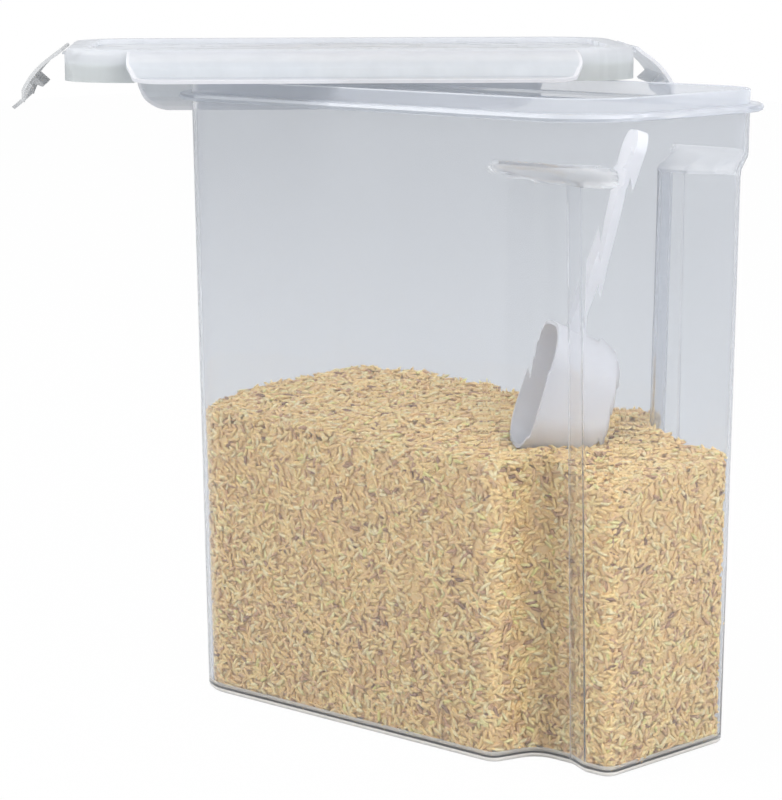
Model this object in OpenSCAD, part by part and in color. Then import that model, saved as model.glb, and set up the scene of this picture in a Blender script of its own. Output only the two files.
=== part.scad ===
// Rice bin: a tall clear container with a grip end, a lift-off lid with four flap
// latches and a sealing ring, a scoop standing in the rice, and the rice.
// The lid lies slantwise across the open rim, with its latches undone.
// Millimetres. Origin in the middle of the base, Z up, grip end at +X.

/* [Container] */
// Outer length of the base
base_l = 256.5; // [230:0.5:300]
// Outer width of the base
base_w = 119; // [110:0.5:140]
// Height to the top of the lip
body_h = 300; // [280:1:340]
// Draft of the walls, in degrees
draft = 1.0; // [0.4:0.1:1.4]
// Thickness of the walls
wall_t = 1.8; // [1.2:0.1:2.6]
// Thickness of the floor
floor_t = 2.4; // [1.6:0.1:4]
// Radius of the upright corners at the plain end
corner_r = 26; // [22:0.5:32]
// Radius of the upright corners above the grip end
end_r = 23.5; // [20:0.5:26]
// Radius along the bottom edge
foot_r = 2.4; // [1:0.1:4]

/* [Rim] */
// Height of the lip above the flange
lip_h = 6.4; // [5:0.1:9]
// Thickness of the flange
flange_t = 3.6; // [2.4:0.1:5]
// How far the flange stands out from the wall
flange_out = 6.2; // [4:0.1:8]

/* [Grip end] */
// Length of the drawn-in end, from the grip groove's edge to the end wall
grip_l = 53.6; // [48:0.2:60]
// Depth of the finger groove below the long wall
groove_d = 23.2; // [16:0.2:28]
// Depth of the end pillar's sides below the long wall
pillar_d = 17.4; // [10:0.2:22]
// Length of the groove's bottom
groove_l = 19.6; // [16:0.2:26]
// Length of the end pillar
pillar_l = 14.6; // [10:0.2:16]
// Radius of the end pillar's outer corners
pillar_r = 5.6; // [4:0.2:8]
// Height at which the drawn-in end stops
shoulder_z = 261; // [220:1:266]
// Height of the slope above it
shoulder_h = 9.5; // [8:0.5:16]

/* [Lid] */
// Height of the lid
lid_h = 15.6; // [14:0.1:20]
// Thickness of the skirt
skirt_t = 1.3; // [1:0.1:2]
// Thickness of the top panel
panel_t = 2; // [1.4:0.1:3]
// Radius along the top edge
edge_r = 3.4; // [2:0.1:4]
// Width of the raised border round the top panel
border_w = 13; // [9:0.5:20]
// Depth of the sunk top panel
sunk_d = 2.4; // [1:0.1:3]
// Thickness of the ring wall inside the sealing channel
ring_t = 2; // [1.4:0.1:3]
// Thickness of the sealing ring
seal_t = 2.6; // [1.6:0.1:3.2]
// Running gap between the lip and the sealing channel's walls
lip_gap = 0.3; // [0.2:0.05:0.6]
// Turn of the lid across the rim, in degrees
lid_turn = 47; // [44:0.5:50]
// Distance of the lid's middle from the rim's left end
lid_in = 48.4; // [46:0.2:54]
// Distance of the lid's middle from the rim's centre line
lid_off = 11.3; // [8:0.1:12]

/* [Latches] */
// Length of a latch, from its hinge to its tip
latch_l = 35.6; // [34:0.2:38]
// Thickness of a latch
latch_t = 1.7; // [1.2:0.1:2.4]
// Width of the two long latches
long_latch_w = 209; // [160:1:210]
// Width of the two end latches
end_latch_w = 74; // [50:1:78]
// Radius of the long latches' lower corners
long_latch_r = 17; // [8:0.5:20]
// Radius of the end latches' lower corners
end_latch_r = 10; // [6:0.5:16]
// Length of each hinge strip on a long latch
long_strip_l = 40; // [20:1:50]
// Length of each hinge strip on an end latch
end_strip_l = 22; // [12:1:30]
// Radius of the hinge bead
bead_r = 0.9; // [0.7:0.05:1.2]
// Gap between pieces that move against each other
run_gap = 0.3; // [0.25:0.05:0.5]
// How far the near latch is lifted from hanging straight down, in degrees
near_open = 68; // [67:0.5:80]
// How far the far latch is lifted
far_open = 8; // [7:0.5:60]
// How far the end latches are lifted
end_open = 37; // [0:1:60]

/* [Scoop] */
// Length of the scoop's cup
cup_l = 60; // [52:1:66]
// Width of the cup
cup_w = 46; // [42:1:50]
// Depth of the cup
cup_d = 34; // [28:1:36]
// Thickness of the scoop's walls
cup_t = 1.6; // [1.2:0.1:2.2]
// Length of the handle
handle_l = 94; // [80:1:100]
// Width of the handle at its tip
handle_w = 20; // [14:0.5:22]
// Thickness of the handle
handle_t = 5; // [3:0.1:6]
// Lean of the handle from upright, in degrees
scoop_lean = 18.5; // [16:0.5:20]
// Direction in which the cup's mouth looks, in degrees
scoop_look = -127; // [-132:1:-122]
// How far the lower end of the cup's mouth is sunk in the rice
scoop_dip = 5; // [0:0.5:8]
// Distance of the cup's mouth from the end wall
scoop_in = 73; // [70:0.5:76]
// Distance of the cup's mouth from the centre line, towards the near wall
scoop_near = 10; // [7:0.5:12]

/* [Rice] */
// Height of the rice at the middle
rice_h = 142; // [110:1:146]
// Gap between the rice and the walls
rice_gap = 0.35; // [0.3:0.05:0.6]

/* [Hidden] */
clear_pp = [0.80, 0.83, 0.86, 0.35];
lid_pp = [0.90, 0.92, 0.94, 0.75];
over = 1;                           // how far a cut runs past the face it opens
arc_n = 5;                          // steps round each small upright corner
big_n = 9;                          // steps round each of the two large corners
arc_fn = 64;

half_l = base_l / 2;
half_w = base_w / 2;
slope = tan(draft);
flange_z = body_h - lip_h - flange_t;
rim_l = base_l + 2 * slope * body_h;
rim_w = base_w + 2 * slope * body_h;
groove_x = half_l - grip_l;         // where the long wall ends
groove_edge_r = 6;
groove_left_r = 10;
groove_right_r = 3.5;
pillar_left_r = 5;
groove_rake = 6.8;                  // how far the groove's left side leans

// Plan of the container

// Corners of the drawn-in plan on the near side: x, y, radius, steps
near_plan = [
    [-half_l, -half_w, corner_r, big_n],
    [groove_x, -half_w, groove_edge_r, arc_n],
    [groove_x + groove_rake, -half_w + groove_d, groove_left_r, arc_n],
    [groove_x + groove_rake + groove_l, -half_w + groove_d, groove_right_r, arc_n],
    [half_l - pillar_l, -half_w + pillar_d, pillar_left_r, arc_n],
    [half_l, -half_w + pillar_d, pillar_r, arc_n]];
function mirrored(list) = [for (i = [len(list) - 1 : -1 : 0]) [list[i].x, -list[i].y, list[i][2], list[i][3]]];
plan = concat(near_plan, mirrored(near_plan));

function flat(list) = [for (part = list) each part];
function unit2(v) = v / norm(v);
function turn_of(a, b) = let (d = b - a) d > 180 ? d - 360 : d < -180 ? d + 360 : d;

// Points and outward normals round one rounded corner: [x, y, nx, ny]
function corner_points(before, at, after) =
    let (p = [at.x, at.y],
         d1 = unit2([before.x, before.y] - p),
         d2 = unit2([after.x, after.y] - p),
         half = acos(d1 * d2) / 2,
         cut = at[2] / tan(half),
         mid = p + unit2(d1 + d2) * at[2] / sin(half),
         s = p + d1 * cut - mid,
         e = p + d2 * cut - mid,
         a0 = atan2(s.y, s.x),
         turn = turn_of(a0, atan2(e.y, e.x)),
         out = turn > 0 ? 1 : -1)
    [for (k = [0 : at[3]])
        let (a = a0 + turn * k / at[3])
        [mid.x + at[2] * cos(a), mid.y + at[2] * sin(a), out * cos(a), out * sin(a)]];
low_ring = flat([for (i = [0 : len(plan) - 1])
    corner_points(plan[(i + len(plan) - 1) % len(plan)], plan[i], plan[(i + 1) % len(plan)])]);

// The same number of points round the full plan above the shoulder
near_n = big_n + 1;
groove_n = 3 * (arc_n + 1);
end_n = 2 * (arc_n + 1);
function clipped(p) = [min(p.x, half_l - end_r), -half_w, 0, -1];
function end_arc(k) =
    let (a = -90 + 90 * k / (end_n - 1))
    [half_l - end_r + end_r * cos(a), -half_w + end_r + end_r * sin(a), cos(a), sin(a)];
near_high = concat(
    [for (k = [0 : near_n - 1]) low_ring[k]],
    [for (k = [0 : groove_n - 1]) clipped(low_ring[near_n + k])],
    [for (k = [0 : end_n - 1]) end_arc(k)]);
high_ring = concat(near_high, [for (i = [len(near_high) - 1 : -1 : 0])
    [near_high[i].x, -near_high[i].y, near_high[i][2], -near_high[i][3]]]);
ring_n = len(low_ring);

// One level of a skin: height, distance outwards, and share of the full plan (0 to 1)
function level(z, out, share) =
    [for (i = [0 : ring_n - 1])
        let (lo = low_ring[i], hi = high_ring[i], o = out + z * slope)
        [(lo.x + lo[2] * o) * (1 - share) + (hi.x + hi[2] * o) * share,
         (lo.y + lo[3] * o) * (1 - share) + (hi.y + hi[3] * o) * share, z]];
function ease(t) = t * t * (3 - 2 * t);
shoulder_n = 6;
function shoulder(out, lift) =
    [for (k = [0 : shoulder_n])
        level(shoulder_z + lift + shoulder_h * k / shoulder_n, out, ease(k / shoulder_n))];

// A closed solid from a stack of levels, joined ring by ring. The flat ends are cut
// into strips from the near side to the far side, because the plan is not convex.
module stack(levels) {
    rows = len(levels);
    points = flat(levels);
    sides = [for (r = [0 : rows - 2]) for (i = [0 : ring_n - 1])
        let (j = (i + 1) % ring_n, a = r * ring_n)
        each [[a + i, a + ring_n + i, a + j], [a + j, a + ring_n + i, a + ring_n + j]]];
    high = (rows - 1) * ring_n;
    low_end = [for (i = [0 : ring_n / 2 - 2]) [i, i + 1, ring_n - 2 - i, ring_n - 1 - i]];
    high_end = [for (f = low_end) [high + f[3], high + f[2], high + f[1], high + f[0]]];
    polyhedron(points = points, faces = concat(low_end, sides, high_end));
}

// Quarter round at the foot: levels from the flat base up the wall
foot_n = 3;
function foot(z0, r, out) =
    [for (k = [0 : foot_n])
        let (a = 90 * k / foot_n)
        level(z0 + r * (1 - cos(a)), out - r * (1 - sin(a)), 0)];
flange_r = flange_t / 2;
flange_n = 4;
function flange() =
    [for (k = [0 : flange_n])
        let (a = -90 + 180 * k / flange_n)
        level(flange_z + flange_r + flange_r * sin(a), flange_out - flange_r + flange_r * cos(a), 1)];
lip_round = 0.5;
roof_lift = wall_t * 0.8;           // keeps the slope as thick as the wall

module container_body() color(clear_pp) {
    outside = concat(
        foot(0, foot_r, 0),
        shoulder(0, 0),
        [level(flange_z, 0, 1)],
        flange(),
        [level(body_h - lip_h, 0, 1), level(body_h - lip_round, 0, 1), level(body_h, -lip_round, 1)]);
    inside = concat(
        foot(floor_t, foot_r, -wall_t),
        shoulder(-wall_t, roof_lift),
        [level(body_h - lip_round, -wall_t, 1), level(body_h, -wall_t + lip_round, 1)]);
    rows_out = len(outside);
    rows = rows_out + len(inside);
    levels = concat(outside, [for (i = [len(inside) - 1 : -1 : 0]) inside[i]]);
    stack(levels);
}

// Lid

lid_l = rim_l + 2 * (lip_gap + skirt_t);
lid_w = rim_w + 2 * (lip_gap + skirt_t);
channel_l = lid_l - 2 * skirt_t;
channel_w = lid_w - 2 * skirt_t;
channel_r = end_r + slope * body_h + lip_gap;
lid_r = channel_r + skirt_t;
ring_gap = lip_gap + 0.42 * max(corner_r - end_r, 0); // lets the ring clear the rounder corners too
lip_room = wall_t + lip_gap + ring_gap; // width of the sealing channel
ring_l = channel_l - 2 * lip_room;
ring_w = channel_w - 2 * lip_room;
ring_r = channel_r - lip_room;
channel_h = lip_h + seal_t + run_gap;
hollow_h = lid_h - sunk_d - panel_t;
lid_z = body_h + run_gap;
lid_x = -rim_l / 2 + lid_in;
band_h = lid_h - channel_h + 2;     // height of the skirt that is left behind a latch

module plate2d(l, w, r) {
    square([l - 2 * r, w], center = true);
    square([l, w - 2 * r], center = true);
    for (sx = [-1, 1], sy = [-1, 1])
        translate([sx * (l / 2 - r), sy * (w / 2 - r)]) circle(r, $fn = arc_fn);
}

module slab(l, w, r, z0, z1) {
    translate([0, 0, z0]) linear_extrude(z1 - z0) plate2d(l, w, r);
}

module lid_place() {
    translate([lid_x, lid_off, lid_z]) rotate([0, 0, lid_turn]) children();
}

// Puts a latch or a hinge strip on each side: 0 near, 1 right, 2 far, 3 left
hinge_drop = 1.1;                   // hinge bead's top below the lid's top
hinge_back = 2.3;                   // hinge axis inwards of the flange's edge
side_reach = [lid_w / 2, lid_l / 2, lid_w / 2, lid_l / 2];
side_turn = [0, 90, 180, 270];
side_width = [long_latch_w, end_latch_w, long_latch_w, end_latch_w];
side_strips = [long_strip_l, end_strip_l, long_strip_l, end_strip_l];
hinge_out = flange_out - lip_gap - skirt_t - hinge_back;
hinge_z = lid_h - bead_r - hinge_drop;
module on_side(s) {
    rotate([0, 0, side_turn[s]]) translate([0, -side_reach[s], 0]) children();
}

// Middles of the hinge strips: three on a long latch, two on an end latch
function strip_places(s) =
    let (reach = side_width[s] / 2 - side_strips[s] / 2)
    s % 2 == 0 ? [-reach, 0, reach] : [-reach, reach];

gap_side = 3;                       // how much narrower the gap is than the latch, each end
near_gap_r = 4;
end_gap_r = 7;

// The skirt is cut away behind a latch, with a quarter round at each end
module skirt_gap(s) {
    cut_w = side_width[s] - 2 * gap_side;
    cut_h = lid_h - band_h;
    round_r = s % 2 == 0 ? near_gap_r : end_gap_r;
    on_side(s) translate([0, skirt_t + lip_room / 2, 0]) rotate([90, 0, 0])
        linear_extrude(skirt_t + lip_room / 2 + over) {
            translate([0, cut_h / 2 - over / 2]) square([cut_w - 2 * round_r, cut_h + over], center = true);
            translate([0, (cut_h - round_r - over) / 2]) square([cut_w, cut_h - round_r + over], center = true);
            for (e = [-1, 1]) translate([e * (cut_w / 2 - round_r), cut_h - round_r]) circle(round_r, $fn = arc_fn);
        }
}

// Section through the lid's edge: distance outwards from the corner's centre, height
edge_n = 5;
module lid_section() {
    polygon(concat(
        [[0, hollow_h], [ring_r - ring_t, hollow_h], [ring_r - ring_t, 0], [ring_r, 0], [ring_r, channel_h],
         [channel_r, channel_h], [channel_r, 0], [lid_r, 0]],
        [for (k = [0 : edge_n])
            let (a = 90 * k / edge_n)
            [lid_r - edge_r + edge_r * cos(a), lid_h - edge_r + edge_r * sin(a)]],
        [[lid_r - border_w, lid_h], [lid_r - border_w, lid_h - sunk_d], [0, lid_h - sunk_d]]));
}

module lid_side(reach, length) {
    translate([0, -reach / 2 + lid_r, 0]) rotate([90, 0, -90])
        linear_extrude(length, center = true) lid_section();
}

module lid_form() {
    straight_l = lid_l - 2 * lid_r;
    straight_w = lid_w - 2 * lid_r;
    translate([-straight_l / 2, -straight_w / 2, hollow_h])
        cube([straight_l, straight_w, lid_h - sunk_d - hollow_h]);
    for (s = [0 : 3]) rotate([0, 0, side_turn[s]]) {
        lid_side(s % 2 == 0 ? lid_w : lid_l, s % 2 == 0 ? straight_l : straight_w);
        translate([s % 2 == 0 ? straight_l / 2 : straight_w / 2, s % 2 == 0 ? -straight_w / 2 : -straight_l / 2, 0])
            rotate([0, 0, -90]) rotate_extrude(angle = 90, $fn = arc_fn) lid_section();
    }
}

module lid_shell() color(lid_pp) lid_place() {
    difference() {
        lid_form();
        for (s = [0 : 3]) skirt_gap(s);
    }
    for (s = [0 : 3]) for (x = strip_places(s)) hinge_strip(s, x);
}

// Thin strip that reaches from the lid's edge towards a latch's bead
strip_t = 0.8;
module hinge_strip(s, x) {
    reach = hinge_out - bead_r - run_gap;
    on_side(s) translate([x, -reach / 2 + edge_r / 4, hinge_z - edge_r / 3])
        cube([side_strips[s], reach + edge_r / 2, strip_t], center = true);
}

module lid_gasket() color([0.93, 0.94, 0.92]) lid_place() {
    seal_gap = 0.05;
    difference() {
        slab(channel_l - 2 * seal_gap, channel_w - 2 * seal_gap, channel_r - seal_gap,
             channel_h - seal_t, channel_h);
        slab(ring_l + 2 * seal_gap, ring_w + 2 * seal_gap, ring_r + seal_gap,
             channel_h - seal_t - over, channel_h + over);
    }
}

// Latches

// A latch hangs from its hinge: u is outwards, v is down from the hinge
hook_top = hinge_z + flange_t + run_gap;
hook_h = 3.4;
rib_d = 1.8;                        // how far the ribs stand in from the plate
rib_t = 1.4;
hook_bite = 0.5;                    // gap between the hook's tip and the lip when closed
hook_tip_low = 0.6;
hook_tip_h = 1.2;
hook_side = 2;                      // how far the hook ends before the latch's corners
hook_in = hook_bite - (flange_out - hinge_back);
bulge = 4.5;                        // how far the latch bows out over the flange
waist_v = latch_l * 0.8;
waist_u = 1.1;
tip_u = 2.8;
bow_n = 10;
tip_n = 5;
function bow(v) = bulge * pow(sin(180 * min(v / (waist_v * 1.24), 1)), 0.8);
function latch_u(v) =
    v < waist_v ? max(bow(v), bead_r + (waist_u - bead_r) * v / waist_v)
                : waist_u + (tip_u - waist_u) * pow((v - waist_v) / (latch_l - waist_v), 1.3);
latch_line = concat(
    [for (k = [0 : bow_n - 1]) waist_v * k / bow_n],
    [for (k = [0 : tip_n]) waist_v + (latch_l - waist_v) * k / tip_n]);
module latch_section() {
    polygon(concat(
        [for (v = latch_line) [latch_u(v), -v]],
        [for (i = [len(latch_line) - 1 : -1 : 0]) [latch_u(latch_line[i]) - latch_t, -latch_line[i]]]));
}

module hook_section() {
    u = latch_u(hook_top) - latch_t / 2;
    polygon([[u, -hook_top], [hook_in, -hook_top - hook_tip_low], [hook_in, -hook_top - hook_tip_low - hook_tip_h],
             [u - latch_t, -hook_top - hook_h], [u, -hook_top - hook_h]]);
}

// Outline of a latch seen from outside
module latch_outline(w, r) {
    translate([0, -(latch_l - r) / 2 + over]) square([w, latch_l - r + 2 * over], center = true);
    translate([0, -latch_l / 2]) square([w - 2 * r, latch_l + 2 * over], center = true);
    for (e = [-1, 1]) translate([e * (w / 2 - r), -latch_l + r]) circle(r, $fn = arc_fn);
}

// Stiffening rib along each end of a latch, below the hook
module rib_section(r) {
    top = hook_top + hook_h;
    low = latch_l - r * 0.6;
    steps = 4;
    line = [for (k = [0 : steps]) top + (low - top) * k / steps];
    polygon(concat(
        [for (v = line) [latch_u(v) - latch_t / 2, -v]],
        [for (k = [steps : -1 : 0]) [latch_u(line[k]) - latch_t - rib_d * (k < steps ? 1 : 0.3), -line[k]]]));
}

module across(w) {
    rotate([90, 0, 90]) linear_extrude(w, center = true) mirror([1, 0]) children();
}

module latch(s, open, r) {
    w = side_width[s];
    hook_w = w - 2 * (r + hook_side);
    on_side(s) translate([0, -hinge_out, hinge_z]) rotate([-open, 0, 0]) {
        intersection() {
            across(w) latch_section();
            rotate([90, 0, 0]) linear_extrude(2 * latch_l, center = true) latch_outline(w, r);
        }
        across(hook_w) hook_section();
        for (e = [-1, 1]) translate([e * (w / 2 - rib_t - r * 0.1), 0, 0]) across(rib_t) rib_section(r);
        for (x = strip_places(s)) translate([x, 0, 0]) rotate([0, 90, 0])
            cylinder(side_strips[s], bead_r, bead_r, center = true, $fn = arc_fn);
    }
}

module latch_near() color(lid_pp) lid_place() latch(0, near_open, long_latch_r);
module latch_right() color(lid_pp) lid_place() latch(1, end_open, end_latch_r);
module latch_far() color(lid_pp) lid_place() latch(2, far_open, long_latch_r);
module latch_left() color(lid_pp) lid_place() latch(3, end_open, end_latch_r);

// Scoop

scoop_x = half_l - scoop_in;
scoop_y = -scoop_near;
scoop_z = rice_h - scoop_dip + cup_l / 2 * cos(scoop_lean);
handle_in = 7;                      // handle's face behind the plane of the mouth
handle_neck = 5;                    // half the handle's width where it meets the cup
cup_r = 19;
cup_slim = 5;                       // how much the cup narrows towards its bottom
cup_bend = 0.62;                    // shares of the depth at which the cup's sides bend
cup_low = 0.9;
cup_soft = 4;                       // rounding of the cup's bottom edge
layer_t = 0.5;
cup_fn = 32;

// Cup outline at depth d behind the mouth, smaller by the given inset
module cup_layer(d, inset, slim, t) {
    translate([0, 0, d]) linear_extrude(t)
        plate2d(cup_l - 2 * (inset + slim), cup_w - 2 * (inset + slim), cup_r - inset, $fn = cup_fn);
}

module cup_form(inset, depth, start) {
    hull() {
        cup_layer(start, inset, 0, layer_t);
        cup_layer(depth * cup_bend, inset, cup_slim / 2, layer_t);
        cup_layer(depth * cup_low, inset, cup_slim, layer_t);
        cup_layer(depth - layer_t, inset + cup_soft, cup_slim, layer_t);
    }
}

// The scoop lies with its mouth in the plane z = 0 and its handle along x
module scoop_flat() {
    difference() {
        cup_form(0, cup_d, 0);
        cup_form(cup_t, cup_d - cup_t, -over);
    }
    hull() {
        translate([cup_l / 2 - handle_in / 2, 0, handle_in]) cylinder(handle_t, handle_neck, handle_neck, $fn = cup_fn);
        translate([cup_l / 2 + handle_l - handle_w / 2, 0, handle_in])
            cylinder(handle_t, handle_w / 2, handle_w / 2, $fn = cup_fn);
    }
}

// The handle leans back, away from the side on which the mouth looks
module scoop_place() {
    translate([scoop_x, scoop_y, scoop_z])
        rotate([0, 0, scoop_look]) rotate([0, -90 - scoop_lean, 0]) children();
}

module measuring_scoop() color([0.95, 0.95, 0.96]) scoop_place() scoop_flat();

// Rice

// Direction in which the scoop is drawn out, clear of the latch and the grooves
scoop_way = [15, -14, 165] / norm([15, -14, 165]);

rice_slope_x = -0.02;
rice_slope_y = 0.078;
function rice_top(p) = rice_h + rice_slope_x * p.x + rice_slope_y * p.y;
module rice_fill() color([0.80, 0.65, 0.38]) difference() {
    stack(concat(
        foot(floor_t + rice_gap, foot_r, -wall_t - rice_gap),
        [[for (p = level(rice_h, -wall_t - rice_gap, 0)) [p.x, p.y, rice_top(p)]]]));
    pocket_form();
}

// Pocket round the sunk end of the cup: an upright well, wide enough for its slanting way out
pocket_deep = (cup_l / 2 - cup_slim) * cos(scoop_lean) + (cup_d * cup_low + layer_t) * sin(scoop_lean) + rice_gap;
pocket_sway = 2;
pocket_front = cup_l / 2 * sin(scoop_lean) + pocket_sway;
pocket_back = cup_d * cos(scoop_lean);
pocket_r = 12;
module pocket_form() {
    translate([scoop_x, scoop_y, scoop_z - pocket_deep]) rotate([0, 0, scoop_look])
        translate([(pocket_front - pocket_back) / 2, 0, 0]) linear_extrude(pocket_deep + cup_l)
            plate2d(pocket_front + pocket_back, cup_w, pocket_r);
}

container_body();
rice_fill();
measuring_scoop();
lid_shell();
lid_gasket();
latch_near();
latch_far();
latch_left();
latch_right();
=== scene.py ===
# Clear rice bin with a loose snap-latch lid lying askew on the rim, a white scoop and brown rice.
import math
import random
import bmesh
import bpy
import numpy as np
from mathutils import Matrix, Vector
from mathutils.bvhtree import BVHTree


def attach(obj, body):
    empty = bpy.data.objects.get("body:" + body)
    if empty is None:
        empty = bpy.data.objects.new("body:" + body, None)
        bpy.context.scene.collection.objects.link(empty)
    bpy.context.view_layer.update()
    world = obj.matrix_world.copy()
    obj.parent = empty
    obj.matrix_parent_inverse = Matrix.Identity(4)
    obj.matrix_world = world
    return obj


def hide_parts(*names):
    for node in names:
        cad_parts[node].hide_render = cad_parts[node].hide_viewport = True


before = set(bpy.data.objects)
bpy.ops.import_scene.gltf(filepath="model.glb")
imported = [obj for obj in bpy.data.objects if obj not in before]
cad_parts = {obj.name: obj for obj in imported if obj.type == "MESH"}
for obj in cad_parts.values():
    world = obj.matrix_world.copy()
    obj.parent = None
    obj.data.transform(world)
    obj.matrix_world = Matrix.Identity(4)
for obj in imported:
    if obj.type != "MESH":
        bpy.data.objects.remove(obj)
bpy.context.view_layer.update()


# Camera: taken from the bin's straight edges in the photograph

cameraFit = {
    "turn": 43.775,  # degrees round the bin from the near long wall
    "height": 9.256,
    "roll": -0.091,
    "shiftRight": 0.034744,
    "shiftUp": -0.000763,
    "distance": 1.388867,
    "target": (0.0030318, 0.0, 0.150),
    "lens": 132.256,
    "sensor": 36.0,
    "nearClip": 0.01,
}


def placeCamera(fit):
    turn, height, roll = (math.radians(fit[k]) for k in ("turn", "height", "roll"))
    level = math.cos(height)
    back = Vector((math.sin(turn) * level, -math.cos(turn) * level, math.sin(height)))
    right = Vector((math.cos(turn), math.sin(turn), 0.0))
    up = back.cross(right)
    right, up = (right * math.cos(roll) + up * math.sin(roll),
                 up * math.cos(roll) - right * math.sin(roll))
    spot = Vector(fit["target"]) + back * fit["distance"]
    spot -= right * fit["shiftRight"] + up * fit["shiftUp"]
    bpy.ops.object.camera_add()
    camera = bpy.context.object
    camera.name = "viewCamera"
    camera.matrix_world = Matrix.Translation(spot) @ Matrix((right, up, back)).transposed().to_4x4()
    camera.data.lens = fit["lens"]
    camera.data.sensor_width = fit["sensor"]
    camera.data.clip_start = fit["nearClip"]
    bpy.context.scene.camera = camera


placeCamera(cameraFit)
print("camera placed")


# Node materials, written as sums

class Value:
    # a socket that can be used in ordinary sums
    def __init__(self, maker, socket):
        self.maker, self.socket = maker, socket

    def reckon(self, operation, first, second):
        return self.maker.node("ShaderNodeMath", {"operation": operation}, {0: first, 1: second})[0]

    def __add__(self, other):
        return self.reckon("ADD", self, other)

    def __radd__(self, other):
        return self.reckon("ADD", other, self)

    def __sub__(self, other):
        return self.reckon("SUBTRACT", self, other)

    def __rsub__(self, other):
        return self.reckon("SUBTRACT", other, self)

    def __mul__(self, other):
        return self.reckon("MULTIPLY", self, other)

    def __rmul__(self, other):
        return self.reckon("MULTIPLY", other, self)

    def __pow__(self, other):
        return self.reckon("POWER", self, other)


class Maker:
    # builds the nodes of one material, or of the world
    def __init__(self, name, kind="materials"):
        self.owner = getattr(bpy.data, kind).new(name)
        self.owner.use_nodes = True
        self.tree = self.owner.node_tree
        self.tree.nodes.clear()

    def node(self, kind, settings=None, values=None):
        made = self.tree.nodes.new(kind)
        for key, value in (settings or {}).items():
            if key == "stops":
                ramp = made.color_ramp
                while len(ramp.elements) < len(value):
                    ramp.elements.new(0.5)
                for element, (place, tint) in zip(ramp.elements, value):
                    element.position, element.color = place, (*tint, 1.0)
            else:
                setattr(made, key, value)
        for key, value in (values or {}).items():
            if isinstance(value, Value):
                self.tree.links.new(value.socket, made.inputs[key])
            else:
                made.inputs[key].default_value = value
        return [Value(self, out) for out in made.outputs]

    def finish(self, shader, output="ShaderNodeOutputMaterial"):
        self.node(output, None, {"Surface": shader})
        return self.owner


def colour(red, green, blue):
    # screen values 0 to 255 as a linear colour
    return tuple(((v / 255 + 0.055) / 1.055) ** 2.4 for v in (red, green, blue))


surface = {  # how the moulded plastics vary
    "streaks": (60.0, 60.0, 9.0),  # long in the height
    "detail": 3.0,
    "hazeLeast": 0.85,
    "hazeSpread": 0.3,
    "roughSpread": 0.08,
    "streakBump": 0.012,
    "bumpDepth": 0.001,
    "bend": 1.49,
    "clearRoughness": 0.02,
}


clearPlastic = {
    "haze": colour(214, 218, 226),
    "pass": (0.954, 0.960, 0.970),
    "solid": 0.062,  # how much of a wall seen square on is haze
    "edgeSolid": 0.35,
    "edgePower": 3.0,
    "thickSolid": 0.45,  # added on the rim, the foot and the grooves' roofs
    # painted highlight colour for the foot, the creases and the roofs
    "footHighlightTint": (1.0, 0.96, 0.89),
    "roughness": 0.16,
    "bend": 1.28,  # low, as the wall's two faces reflect less than glass
    "glowing": 0.45,  # share of the haze that lets light through
    "glow": colour(214, 218, 226),
}
lidPlastic = {
    "pass": (0.94, 0.955, 0.965),
    "solid": 0.80,
    "edgeSolid": 0.16,
    "edgePower": 2.2,
    "thickSolid": 0.0,
    "roughness": 0.24,
    "bend": None,
    "glowing": 0.65,
    "glow": colour(228, 230, 233),
    "stops": [(0.0, colour(214, 217, 214)), (0.45, colour(216, 218, 217)), (0.56, colour(222, 224, 227)),
              (1.0, colour(226, 227, 232))],  # from the skirt's lower edge to the top: darker and greener low down, partly the seal showing through and partly painted shade where the edge turns down from the light, and lighter towards the top as painted light
    "low": 0.3003,
    "span": 0.0156,
}
latchPlastic = {
    "pass": (0.94, 0.955, 0.965),
    "solid": 0.93,
    "edgeSolid": 0.07,
    "edgePower": 2.0,
    "thickSolid": 0.0,
    "roughness": 0.26,
    "bend": None,
    "glowing": 0.55,
    "glow": colour(216, 218, 222),
    "stops": [(0.0, colour(214, 216, 220)), (0.08, colour(216, 218, 224)), (0.50, colour(214, 216, 219)),
              (0.60, colour(203, 207, 212)), (0.80, colour(202, 206, 210)), (0.86, colour(192, 196, 202)),
              (0.90, colour(212, 213, 217)), (1.0, colour(210, 211, 214))],  # painted shade from the hinge to the tip: a darker band where the flap's lower part turns from the light, lighter again at the tip
    # painted highlight colour and width of the line round the flap's outline
    "rimHighlightTint": colour(232, 231, 234),
    "rimHighlightWidth": 0.0013,
    "length": 0.0356,
}


def clouds(make, place):
    streaks = make.node("ShaderNodeMapping", None, {"Vector": place, "Scale": surface["streaks"]})[0]
    return make.node("ShaderNodeTexNoise", None, {
        "Vector": streaks, "Scale": 1.0, "Detail": surface["detail"]})[0]


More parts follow.
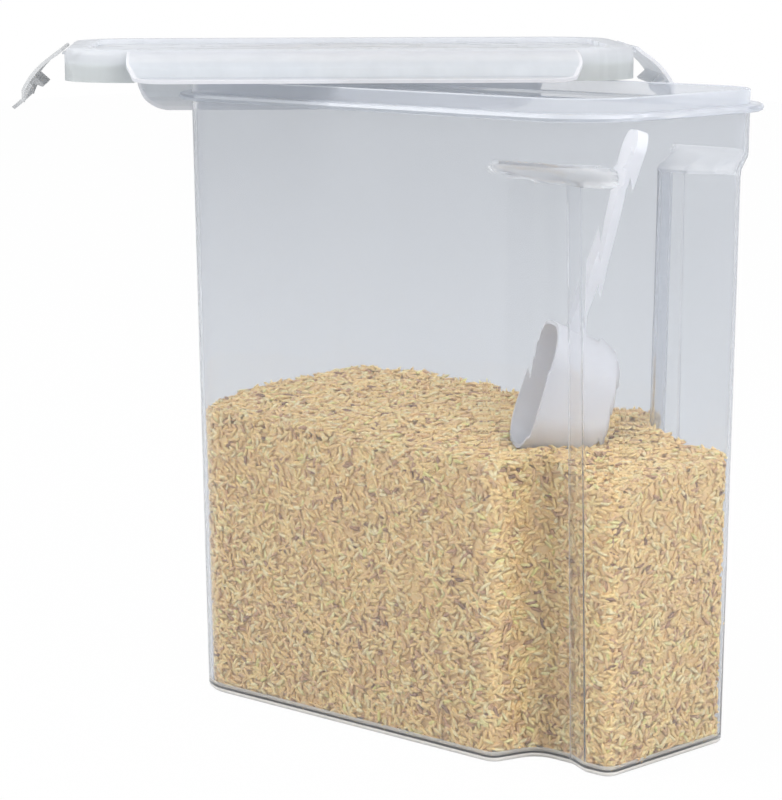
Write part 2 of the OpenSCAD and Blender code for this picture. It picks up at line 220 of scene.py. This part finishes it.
def seeThroughPlastic(name, look, paint):
    # haze over a tinted clear wall, denser where the wall is seen edge on, with faint flow streaks
    make = Maker(name)
    place = make.node("ShaderNodeTexCoord")[3]
    cloud = clouds(make, place)
    facing = make.node("ShaderNodeLayerWeight", None, {"Blend": 0.5})[1]
    thick = make.node("ShaderNodeAttribute", {"attribute_name": "thickPlastic"})[2]
    amount = (look["solid"] * (surface["hazeLeast"] + cloud * surface["hazeSpread"])
              + (facing ** look["edgePower"]) * look["edgeSolid"]
              + thick * look["thickSolid"])
    bump = make.node("ShaderNodeBump", None, {
        "Strength": surface["streakBump"], "Distance": surface["bumpDepth"], "Height": cloud})[0]
    tint = paint(make, place)
    body = make.node("ShaderNodeBsdfPrincipled", None, {
        "Base Color": tint,
        "Roughness": look["roughness"] + cloud * surface["roughSpread"],
        "IOR": surface["bend"],
        "Normal": bump})[0]
    glow = make.node("ShaderNodeBsdfTranslucent", None, {"Color": (*look["glow"], 1.0)})[0]
    haze = make.node("ShaderNodeMixShader", None, {0: look["glowing"], 1: body, 2: glow})[0]
    if look["bend"]:
        clear = make.node("ShaderNodeBsdfGlass", None, {
            "Color": (*look["pass"], 1.0),
            "Roughness": surface["clearRoughness"],
            "IOR": look["bend"]})[0]
    else:
        clear = make.node("ShaderNodeBsdfTransparent", None, {"Color": (*look["pass"], 1.0)})[0]
    return make.finish(make.node("ShaderNodeMixShader", None, {0: amount, 1: clear, 2: haze})[0])


def wallHighlightPaint(make, place):
    # painted highlight: the foot, the grooves' creases and the roofs' lower slopes are painted lighter,
    # where they catch more light than the walls
    paintedHighlightShare = make.node("ShaderNodeAttribute", {"attribute_name": "palePlastic"})[2]
    return make.node("ShaderNodeMix", {"data_type": "RGBA"}, {
        0: paintedHighlightShare, 6: (*clearPlastic["haze"], 1.0), 7: (*clearPlastic["footHighlightTint"], 1.0)})[2]


# painted shade and seal: darker and greener towards the skirt's lower edge, lighter towards the top where
# light falls
def lidShadeAndSealPaint(make, place):
    height = make.node("ShaderNodeSeparateXYZ", None, {0: place})[2]
    upward = (height - lidPlastic["low"]) * (1.0 / lidPlastic["span"])
    return make.node("ShaderNodeValToRGB", {"stops": lidPlastic["stops"]}, {0: upward})[0]


def latchShadeAndHighlightPaint(hinge, axis, down, width, corner):
    # painted shade from the hinge to the tip, darker where the flap turns from the light, and a painted
    # highlight in a thin line round the outline, where an edge would catch light
    def paint(make, place):
        def measure(way):
            dot = make.node("ShaderNodeVectorMath", {"operation": "DOT_PRODUCT"},
                            {0: place, 1: tuple(way)})[1]
            return dot - hinge.dot(way)
        along, outward = measure(axis), measure(down)
        along = make.node("ShaderNodeMath", {"operation": "ABSOLUTE"}, {0: along})[0]
        side = along - (width / 2 - corner)
        tip = outward - (latchPlastic["length"] - corner)
        sideIn = side.reckon("MAXIMUM", side, 0.0)
        tipIn = tip.reckon("MAXIMUM", tip, 0.0)
        inside = corner - (sideIn * sideIn + tipIn * tipIn) ** 0.5
        rim = inside.reckon("LESS_THAN", inside, latchPlastic["rimHighlightWidth"])
        shade = make.node("ShaderNodeValToRGB", {"stops": latchPlastic["stops"]},
                          {0: outward * (1.0 / latchPlastic["length"])})[0]
        return make.node("ShaderNodeMix", {"data_type": "RGBA"}, {
            0: rim, 6: shade, 7: (*latchPlastic["rimHighlightTint"], 1.0)})[2]
    return paint


solidSurface = {
    "cloudScale": 90.0,
    "cloudShade": 0.95,
    "roughSpread": 0.1,
    "fineScale": 900.0,
    "fineBump": 0.05,
    "bumpDepth": 0.0005,
}


def solidPlastic(name, tint, roughness, glowing=0.0):
    # a plain plastic, with cloudy shades and a fine bump
    make = Maker(name)
    place = make.node("ShaderNodeTexCoord")[3]
    cloud = make.node("ShaderNodeTexNoise", None, {
        "Vector": place, "Scale": solidSurface["cloudScale"], "Detail": 3.0})[0]
    fine = make.node("ShaderNodeTexNoise", None, {
        "Vector": place, "Scale": solidSurface["fineScale"], "Detail": 2.0})[0]
    shaded = tuple(v * solidSurface["cloudShade"] for v in tint)
    shade = make.node("ShaderNodeValToRGB", {"stops": [(0.3, shaded), (0.7, tint)]}, {0: cloud})[0]
    bump = make.node("ShaderNodeBump", None, {
        "Strength": solidSurface["fineBump"], "Distance": solidSurface["bumpDepth"], "Height": fine})[0]
    body = make.node("ShaderNodeBsdfPrincipled", None, {
        "Base Color": shade,
        "Roughness": roughness + cloud * solidSurface["roughSpread"],
        "IOR": surface["bend"],
        "Normal": bump})[0]
    glow = make.node("ShaderNodeBsdfTranslucent", None, {"Color": (*tint, 1.0)})[0]
    return make.finish(make.node("ShaderNodeMixShader", None, {0: glowing, 1: body, 2: glow})[0])


grainColours = {
    "tones": [(0.0, colour(150, 118, 92)), (0.03, colour(210, 168, 130)), (0.12, colour(242, 204, 150)),
              (0.40, colour(255, 219, 152)), (0.75, colour(255, 228, 160)), (0.93, colour(255, 240, 190)),
              (1.0, colour(244, 236, 150))],  # from the few dark grains to the few green ones
    "speckShade": (0.74, 0.66, 0.58),
    "speckScale": 700.0,
    "speckShare": 0.6,
    "roughness": 0.55,
    "roughSpread": 0.1,
}


def grainSkin(name):
    # each grain has its own tone, with small darker specks
    make = Maker(name)
    tone = make.node("ShaderNodeAttribute", {"attribute_name": "grainTone"})[2]
    place = make.node("ShaderNodeTexCoord")[3]
    speck = make.node("ShaderNodeTexNoise", None, {
        "Vector": place, "Scale": grainColours["speckScale"], "Detail": 2.0})[0]
    skin = make.node("ShaderNodeValToRGB", {"stops": grainColours["tones"]}, {0: tone})[0]
    specks = [(0.35, grainColours["speckShade"]), (0.6, (1.0, 1.0, 1.0))]
    dark = make.node("ShaderNodeValToRGB", {"stops": specks}, {0: speck})[0]
    shade = make.node("ShaderNodeMix", {"data_type": "RGBA", "blend_type": "MULTIPLY"}, {
        0: grainColours["speckShare"], 6: skin, 7: dark})[2]
    return make.finish(make.node("ShaderNodeBsdfPrincipled", None, {
        "Base Color": shade,
        "Roughness": grainColours["roughness"] + speck * grainColours["roughSpread"]})[0])


skins = {
    "clear": seeThroughPlastic("clearPlastic", clearPlastic, wallHighlightPaint),
    "lid": seeThroughPlastic("milkyPlastic", lidPlastic, lidShadeAndSealPaint),
    "seal": solidPlastic("sealRubber", colour(212, 216, 208), 0.55),
    "scoop": solidPlastic("whitePlastic", colour(240, 240, 243), 0.32, 0.3),
    "grain": grainSkin("riceSkin"),
    "core": solidPlastic("riceShade", colour(246, 212, 154), 0.8),
}
print("materials made")


# Pieces that keep their solid's shape, with smooth faces

def pickOut(piece):
    bpy.ops.object.select_all(action="DESELECT")
    piece.select_set(True)
    bpy.context.view_layer.objects.active = piece


smoothing = {"merge": 0.00002, "flatten": 0.6}  # metres and degrees


def smoothCopy(node, name, angle):
    # the solid's own shape, with its flat facets joined and its curves shaded smooth
    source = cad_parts[node]
    piece = source.copy()
    piece.data = source.data.copy()
    bpy.context.scene.collection.objects.link(piece)
    for key in list(piece.keys()):
        del piece[key]
    piece.parent = None
    piece.name = piece.data.name = name
    pickOut(piece)
    bpy.ops.object.mode_set(mode="EDIT")
    bpy.ops.mesh.select_all(action="SELECT")
    bpy.ops.mesh.remove_doubles(threshold=smoothing["merge"])
    bpy.ops.mesh.dissolve_limited(angle_limit=math.radians(smoothing["flatten"]))
    bpy.ops.object.mode_set(mode="OBJECT")
    if piece.data.has_custom_normals:
        bpy.ops.mesh.customdata_custom_splitnormals_clear()
    bpy.ops.object.shade_smooth_by_angle(angle=math.radians(angle))
    steady = piece.modifiers.new("steadyNormals", "WEIGHTED_NORMAL")
    steady.keep_sharp = True
    bpy.ops.object.modifier_apply(modifier=steady.name)
    return piece


def dress(piece, skin, body, slotName, *nodes):
    piece.data.materials.clear()
    piece.data.materials.append(skins[skin])
    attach(piece, body)
    if nodes:
        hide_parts(*nodes)
    return piece


def markFaces(piece, name, rule):
    values = [rule(face.center, face.normal) for face in piece.data.polygons]
    piece.data.attributes.new(name, "FLOAT", "FACE").data.foreach_set("value", values)


binPlaces = {
    "footTop": 0.0045,
    "rimLow": 0.2885,
    "roofLow": 0.2,
    "roofHigh": 0.28,
    "creaseFrom": 0.095,
    "creaseTo": 0.110,
    "level": 0.3,  # how far up or down a roof's face looks
}
binHaze = {"rim": 0.8, "foot": 1.8, "crease": 0.5, "roof": 0.7}
binPaintedHighlight = {"foot": 1.0, "crease": 0.3, "roof": 0.5}


def atFoot(place):
    return place.z < binPlaces["footTop"]


def atRoof(place, facing):
    # the slopes above the grooves
    return abs(facing.z) > binPlaces["level"] and place.z > binPlaces["roofLow"]


def atCrease(place, facing):
    # the narrow bend between a groove's inner wall and the pillar's slanted side
    inPlace = place.z < binPlaces["roofLow"] and binPlaces["creaseFrom"] < place.x < binPlaces["creaseTo"]
    return inPlace and abs(facing.y) > 0.9 and 0.03 < abs(facing.x) < 0.40 and abs(facing.z) < 0.1


def hazier(place, facing):
    # faces where the plastic is thick or seen on edge hold more haze
    if place.z > binPlaces["rimLow"]:
        return binHaze["rim"]
    if atFoot(place):
        return binHaze["foot"]
    if atCrease(place, facing):
        return binHaze["crease"]
    return binHaze["roof"] if atRoof(place, facing) else 0.0


# painted highlight: how much lighter each face of the wall is painted
def paintedHighlightShare(place, facing):
    if atRoof(place, facing) and place.z < binPlaces["roofHigh"]:
        return binPaintedHighlight["roof"]
    if atFoot(place):
        return binPaintedHighlight["foot"]
    return binPaintedHighlight["crease"] if atCrease(place, facing) else 0.0


binWall = smoothCopy("container_body", "binWall", 30.0)
markFaces(binWall, "thickPlastic", hazier)
markFaces(binWall, "palePlastic", paintedHighlightShare)
dress(binWall, "clear", "container", "clear_pp", "container_body")
dress(smoothCopy("lid_shell", "lidShell", 40.0), "lid", "lid", "lid_pp", "lid_shell")
dress(smoothCopy("lid_gasket", "lidSeal", 40.0), "seal", "lid", "silicone", "lid_gasket")


longLatch = {"turn": 47.0, "width": 0.209, "corner": 0.017}  # the hinge's heading, and the flap's plan
endLatch = {"turn": 137.0, "width": 0.074, "corner": 0.010}
latches = {"near": longLatch, "far": longLatch, "left": endLatch, "right": endLatch}
thinnerLatch = 0.2  # how much less haze the latches have that let light through
leftLatchTint = colour(206, 207, 208)


def makeLatch(side, plan):
    piece = smoothCopy("latch_" + side, side + "Latch", 40.0)
    spots = [vertex.co for vertex in piece.data.vertices]
    turn = math.radians(plan["turn"])
    axis = Vector((math.cos(turn), math.sin(turn), 0.0))
    middle = (min(spots, key=axis.dot).dot(axis) + max(spots, key=axis.dot).dot(axis)) / 2
    top = max(spots, key=lambda spot: spot.z)
    tip = max(spots, key=lambda spot: (spot - top - axis * (spot - top).dot(axis)).length)
    hinge = top + axis * (middle - top.dot(axis))
    down = tip - hinge
    down = (down - axis * down.dot(axis)).normalized()
    if side == "left":  # it faces the key lamp, so its plastic is toned down
        skins["leftLatch"] = solidPlastic("leftLatchPlastic", leftLatchTint, 0.5, 0.5)
    else:
        thinner = 0.0 if side == "near" else thinnerLatch
        skins[side + "Latch"] = seeThroughPlastic(
            side + "LatchPlastic",
            dict(latchPlastic, solid=latchPlastic["solid"] - thinner),
            latchShadeAndHighlightPaint(hinge, axis, down, plan["width"], plan["corner"]))
    dress(piece, side + "Latch", side + "_latch", "lid_pp", "latch_" + side)


for side, plan in latches.items():
    makeLatch(side, plan)
dress(smoothCopy("measuring_scoop", "scoop", 50.0), "scoop", "scoop", "scoop_pp", "measuring_scoop")
print("plastic pieces made")


# Rice: loose grains over a plain core, against every wall and on top

rice = {
    "seed": 11,
    "wallDensity": 0.125,  # grains per square millimetre and layer
    "topDensity": 0.15,
    "baseDensity": 0.06,
    "length": (0.0058, 0.0074),
    "width": (0.0017, 0.0021),
    "rings": ((-0.24, 0.92), (0.20, 1.0)),  # place along a grain, and width there
    "sides": 5,
    "flatness": 0.82,
    "lift": 0.05,
    "turnSpread": 0.95,
    "tipSpread": 0.13,
    "layers": (0.0012, 0.0024),  # depth of each layer's middle below the surface
    "foot": 0.004,  # grains on the walls start above this
    "topGap": 0.001,
    "middle": 0.142,
    "lean": 0.078,  # rise towards the far wall, per metre
    "fall": 0.020,  # fall towards the grip end
    "endDrop": 0.007,
    "endStart": 0.085,
    "endSpan": 0.035,
    "swell": 0.0012,
    "ripple": 0.0006,
    "plan": (0.131, 0.062),  # half the length and width that grains are tried on
    "wellMiddle": (0.0475, 0.0020),  # where the scoop is sunk
    "wellReach": 0.034,
    "wellLayers": (0.0036, 0.0050),
    "wallGap": 0.0018,
    "scoopGap": 0.0024,
    "cupTop": 0.195,
    "tilt": 0.16,
    "settle": (-0.0009, 0.0003),
    "probe": 0.003,  # how far above the top the walls are looked for
}
riceCore = {
    "inset": 0.0027,
    "sink": 0.0022,  # below the grains' top
    "topFrom": 0.11,
    "wellRim": 0.1345,
    "wellEnd": 0.08,
}


def riceTop(x, y):
    along = min(max((x - rice["endStart"]) / rice["endSpan"], 0.0), 1.0)
    drop = along * along * (3 - 2 * along) * rice["endDrop"]
    swell = rice["swell"] * math.sin(x * 41.0 + 1.3) * math.cos(y * 55.0)
    ripple = rice["ripple"] * math.sin(x * 130.0 + y * 90.0)
    return rice["middle"] + rice["lean"] * y - rice["fall"] * x - drop + (swell + ripple)


def grainShape(length, width):
    # a tip, two rings and a tip
    points = [(-length / 2, 0.0, 0.0)]
    for along, wide in rice["rings"]:
        for k in range(rice["sides"]):
            turn = math.tau * k / rice["sides"]
            points.append((along * length, wide * width / 2 * math.cos(turn),
                           wide * width / 2 * rice["flatness"] * math.sin(turn) + rice["lift"] * width))
    points.append((length / 2, 0.0, 0.0))
    return np.array(points)


def grainFaces(sides):
    ring, faces = [(k, (k + 1) % sides) for k in range(sides)], []
    first, second, last = 1, 1 + sides, 1 + 2 * sides
    faces += [[0, first + after, first + k] for k, after in ring]
    faces += [[first + k, first + after, second + after, second + k] for k, after in ring]
    faces += [[second + k, second + after, last] for k, after in ring]
    return faces


def layGrains(name, places, chance):
    # each place is a point, its outward direction, a direction along the surface and a depth
    points, faces, tones = [], [], []
    oneGrain = grainFaces(rice["sides"])
    for spot, outward, along, depth in places:
        turn, tip = chance.gauss(0.0, rice["turnSpread"]), chance.gauss(0.0, rice["tipSpread"])
        side = outward.cross(along).normalized()
        direction = along * math.cos(turn) + side * math.sin(turn)
        direction = (direction * math.cos(tip) + outward * math.sin(tip)).normalized()
        across = outward.cross(direction).normalized()
        shape = grainShape(chance.uniform(*rice["length"]), chance.uniform(*rice["width"]))
        first = len(points) * len(shape)
        heading = np.array((direction, across, direction.cross(across)))
        points.append(shape @ heading + np.array(spot - outward * depth))
        faces.extend([[first + i for i in face] for face in oneGrain])
        tones.extend([chance.random()] * len(shape))
    mesh = bpy.data.meshes.new(name)
    mesh.from_pydata(np.concatenate(points).tolist(), [], faces)
    mesh.shade_smooth()
    mesh.attributes.new("grainTone", "FLOAT", "POINT").data.foreach_set("value", tones)
    piece = bpy.data.objects.new(name, mesh)
    bpy.context.scene.collection.objects.link(piece)
    return dress(piece, "grain", "container", "rice")


def inWell(x, y):
    return (Vector((x, y)) - Vector(rice["wellMiddle"])).length < rice["wellReach"]


def sideOf(outward):
    # which wall a face of the rice looks at
    if abs(outward.z) > 0.7:
        return "base" if outward.z < 0 else "top"
    if abs(outward.y) > 0.5:
        return "near" if outward.y < 0 else "far"
    return "ends"


def wallPlaces(chance):
    # random places on the faces of the rice, in each layer
    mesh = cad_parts["rice_fill"].data
    mesh.calc_loop_triangles()
    places = {"near": [], "far": [], "ends": [], "base": []}
    for triangle in mesh.loop_triangles:
        a, b, c = (mesh.vertices[i].co.copy() for i in triangle.vertices)
        outward = (b - a).cross(c - a)
        area = outward.length / 2
        side = sideOf(outward.normalized()) if area > 1e-9 else "top"
        if side == "top":
            continue
        outward.normalize()
        atBase = side == "base"
        along = Vector((1, 0, 0)) if atBase else Vector((0, 0, 1)).cross(outward).normalized()
        wanted = area * 1e6 * rice["baseDensity" if atBase else "wallDensity"]
        for depth in rice["layers"]:
            for _ in range(int(wanted) + (chance.random() < wanted % 1)):
                u, v = chance.random(), chance.random()
                if u + v > 1:
                    u, v = 1 - u, 1 - v
                spot = a + (b - a) * u + (c - a) * v
                shown = rice["foot"] < spot.z < riceTop(spot.x, spot.y) - rice["topGap"]
                if atBase or shown and not inWell(spot.x, spot.y):
                    places[side].append((spot, outward, along, depth))
    return places


def searchTree(node, hullBelow=None):
    # the node's own faces, or the hull round the part of it below a height
    shape = bmesh.new()
    shape.from_mesh(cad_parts[node].data)
    if hullBelow:
        above = [vertex for vertex in shape.verts if vertex.co.z >= hullBelow]
        bmesh.ops.delete(shape, geom=above, context="VERTS")
        bmesh.ops.convex_hull(shape, input=shape.verts)
    tree = BVHTree.FromBMesh(shape)
    shape.free()
    return tree


def insideBin(walls, spot, margin):
    # every way sideways from the spot meets a wall, and none sooner than the margin
    for k in range(8):
        turn = math.tau * k / 8
        way = Vector((math.cos(turn), math.sin(turn), 0))
        distance = walls.ray_cast(spot, way)[3]
        if distance is None or distance < margin:
            return False
    return True


def topPlaces(chance):
    # random places over the plan, apart from what the walls and the scoop take
    walls = searchTree("container_body")
    scoopSkin = searchTree("measuring_scoop")
    cup = searchTree("measuring_scoop", rice["cupTop"])
    halfLength, halfWidth = rice["plan"]
    wanted = int(4 * halfLength * halfWidth * 1e6 * rice["topDensity"])
    places = []
    for depth in rice["layers"] + rice["wellLayers"]:
        for _ in range(wanted):
            x, y = chance.uniform(-halfLength, halfLength), chance.uniform(-halfWidth, halfWidth)
            top = Vector((x, y, riceTop(x, y)))
            probe = Vector((x, y, riceTop(x, y) + rice["probe"]))
            atScoop = inWell(x, y)
            if depth in rice["wellLayers"] and not atScoop or not insideBin(walls, probe, rice["wallGap"]):
                continue
            if atScoop:
                low = probe - Vector((0, 0, rice["probe"] + depth))
                nearest, facing = cup.find_nearest(low)[:2]
                inCup = (low - nearest).dot(facing) < 0
                if inCup or scoopSkin.find_nearest(low)[3] < rice["scoopGap"]:
                    continue
            lean = (chance.gauss(0, rice["tilt"]), -rice["lean"] + chance.gauss(0, rice["tilt"]), 1)
            outward = Vector(lean).normalized()
            along = Vector((math.cos(chance.uniform(0, math.tau)), math.sin(chance.uniform(0, math.tau)), 0))
            along = (along - outward * along.dot(outward)).normalized()
            places.append((top, outward, along, depth + chance.uniform(*rice["settle"])))
    return places


def makeCore():
    # the rice's solid, a little smaller, so that no gap shows between the grains
    core = smoothCopy("rice_fill", "riceCore", 20.0)
    for vertex in core.data.vertices:
        x, y, z = vertex.co
        if z > riceCore["topFrom"] and (z > riceCore["wellRim"] or x > riceCore["wellEnd"]):
            vertex.co.z = min(z, riceTop(x, y)) - riceCore["sink"]
    pickOut(core)
    bpy.ops.object.mode_set(mode="EDIT")
    bpy.ops.mesh.select_all(action="SELECT")
    bpy.ops.transform.shrink_fatten(value=-riceCore["inset"])
    bpy.ops.object.mode_set(mode="OBJECT")
    dress(core, "core", "container", "rice", "rice_fill")


def makeRice():
    chance = random.Random(rice["seed"])
    places = wallPlaces(chance)
    places["top"] = topPlaces(chance)
    for side, found in places.items():
        print("rice", side, len(found), "grains")
        layGrains("rice" + side.capitalize(), found, chance)
    makeCore()


makeRice()
print("rice laid")


# Floor, light and background

studio = {
    "floor": (0.47, 0.48, 0.49),  # a pale grey that the walls show, and white to the camera
    "floorSize": 8.0,
    "floorDrop": 0.0005,
    "whiteToCamera": 0.98,
    "whiteInGlass": 0.12,
    "worldStrength": 1.2,
    "aim": (0.0, 0.0, 0.15),
    "key": {"place": (-0.9, -1.5, 1.7), "size": 1.6, "power": 42.0},
    "fill": {"place": (1.8, -0.5, 1.1), "size": 1.4, "power": 36.0},
}


def makeFloor():
    bpy.ops.object.select_all(action="DESELECT")
    bpy.ops.mesh.primitive_plane_add(size=studio["floorSize"], location=(0, 0, -studio["floorDrop"]))
    floor = bpy.context.object
    floor.name = "studioFloor"
    make = Maker("studioFloorPaint")
    seen = make.node("ShaderNodeLightPath")
    plain = make.node("ShaderNodeBsdfDiffuse", None, {"Color": (*studio["floor"], 1.0)})[0]
    glow = make.node("ShaderNodeEmission", None, {"Color": (1, 1, 1, 1), "Strength": 1.0})[0]
    white = seen[0] * studio["whiteToCamera"] + (seen[3] + seen[6]) * studio["whiteInGlass"]
    floor.data.materials.append(make.finish(
        make.node("ShaderNodeMixShader", None, {0: white, 1: plain, 2: glow})[0]))


def makeLights():
    for name in ("key", "fill"):
        look = studio[name]
        bpy.ops.object.light_add(type="AREA", location=look["place"])
        lamp = bpy.context.object
        lamp.name = name + "Lamp"
        lamp.data.size = look["size"]
        lamp.data.energy = look["power"]
        toBin = Vector(studio["aim"]) - Vector(look["place"])
        lamp.rotation_euler = toBin.to_track_quat("-Z", "Y").to_euler()


def makeSky():
    # plain white behind the bin for camera, mirror and glass rays, and soft light from all round
    make = Maker("studioSky", "worlds")
    seen = make.node("ShaderNodeLightPath")
    soft = make.node("ShaderNodeBackground", None, {
        "Color": (1, 1, 1, 1), "Strength": studio["worldStrength"]})[0]
    white = make.node("ShaderNodeBackground", None, {"Color": (1, 1, 1, 1), "Strength": 1.0})[0]
    direct = seen[0].reckon("MAXIMUM", seen[0], seen[6])
    direct = direct.reckon("MAXIMUM", direct, seen[3])
    mixed = make.node("ShaderNodeMixShader", None, {0: direct, 1: soft, 2: white})[0]
    bpy.context.scene.world = make.finish(mixed, "ShaderNodeOutputWorld")


makeFloor()
makeLights()
makeSky()
bpy.context.scene.view_settings.view_transform = "Standard"
print("floor and lights made")
